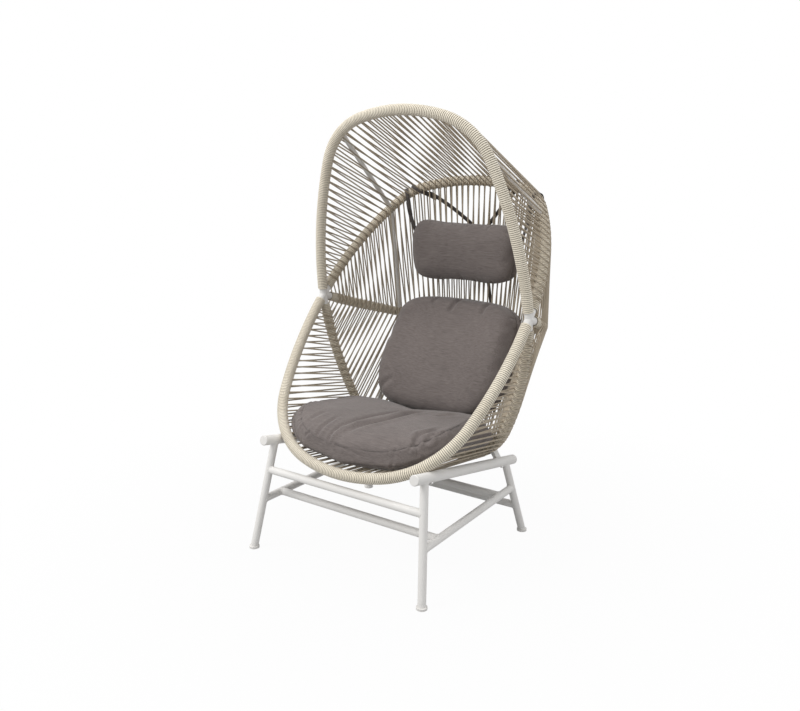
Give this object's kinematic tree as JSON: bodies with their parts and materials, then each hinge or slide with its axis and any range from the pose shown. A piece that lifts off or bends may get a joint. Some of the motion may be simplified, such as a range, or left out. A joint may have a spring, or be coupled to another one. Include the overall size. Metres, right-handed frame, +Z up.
{
  "type": "pod lounge chair",
  "caption": "Hooded pod lounge chair: a shell of bent hoops strung with zigzag cord on a sloping tube base, with seat cushion, back cushion and strap-hung headrest.",
  "frame": {"origin": "middle of the bottom of the bounding box, on the floor", "axes": "+Z up, the chair faces -Y, +X is to the left of a person sitting in it"},
  "size_m": [0.8482, 0.8716, 1.402],
  "materials": {
    "frame_coat": "fine matte powder coat, warm light grey",
    "glide": "moulded, matched to the frame",
    "bolt_steel": "plain",
    "cord": "round braided outdoor cord, warm sand",
    "cushion_cloth": "slubbed flat weave, taupe grey",
    "webbing": "flat woven webbing, near black"
  },
  "bodies": {
    "frame": {"side_rail_left": "frame_coat", "side_rail_right": "frame_coat", "rail_end_caps": "glide", "leg_front_left": "frame_coat", "leg_front_right": "frame_coat", "leg_rear_left": "frame_coat", "leg_rear_right": "frame_coat", "foot_glides": "glide", "front_rail": "frame_coat", "rear_rail": "frame_coat", "side_stretcher_left": "frame_coat", "side_stretcher_right": "frame_coat", "cross_tube_front": "frame_coat", "cross_tube_rear": "frame_coat", "hub_left": "frame_coat", "hub_right": "frame_coat", "hood_hoop": "frame_coat", "arch_hoop": "frame_coat", "belt_hoop": "frame_coat", "rear_hoop": "frame_coat", "front_hoop": "frame_coat", "hood_wrap": "cord", "arch_wrap": "cord", "belt_wrap": "cord", "rear_wrap": "cord", "front_wrap": "cord", "hood_cords": "cord", "back_cords": "cord", "lumbar_cords": "cord", "seat_cords": "cord", "hood_rib_left": "frame_coat", "hood_rib_right": "frame_coat", "back_rib_left": "frame_coat", "back_rib_right": "frame_coat", "lumbar_rib_left": "frame_coat", "lumbar_rib_right": "frame_coat", "shell_bracket_left": "frame_coat", "shell_bracket_right": "frame_coat", "shell_bolts": "bolt_steel", "seat_cushion": "cushion_cloth", "back_cushion": "cushion_cloth", "headrest_strap_left": "webbing", "headrest_strap_right": "webbing", "stay_strap_left": "webbing", "stay_strap_right": "webbing", "stay_strap_tail": "webbing"},
    "headrest": {"headrest": "cushion_cloth"}
  },
  "joints": [
    {"name": "headrest_height", "type": "slide", "parent": "frame", "child": "headrest", "axis": [0, 0, 1], "range_m": [-0.04, 0.04], "deforming": ["headrest_strap_left", "headrest_strap_right"]}
  ]
}
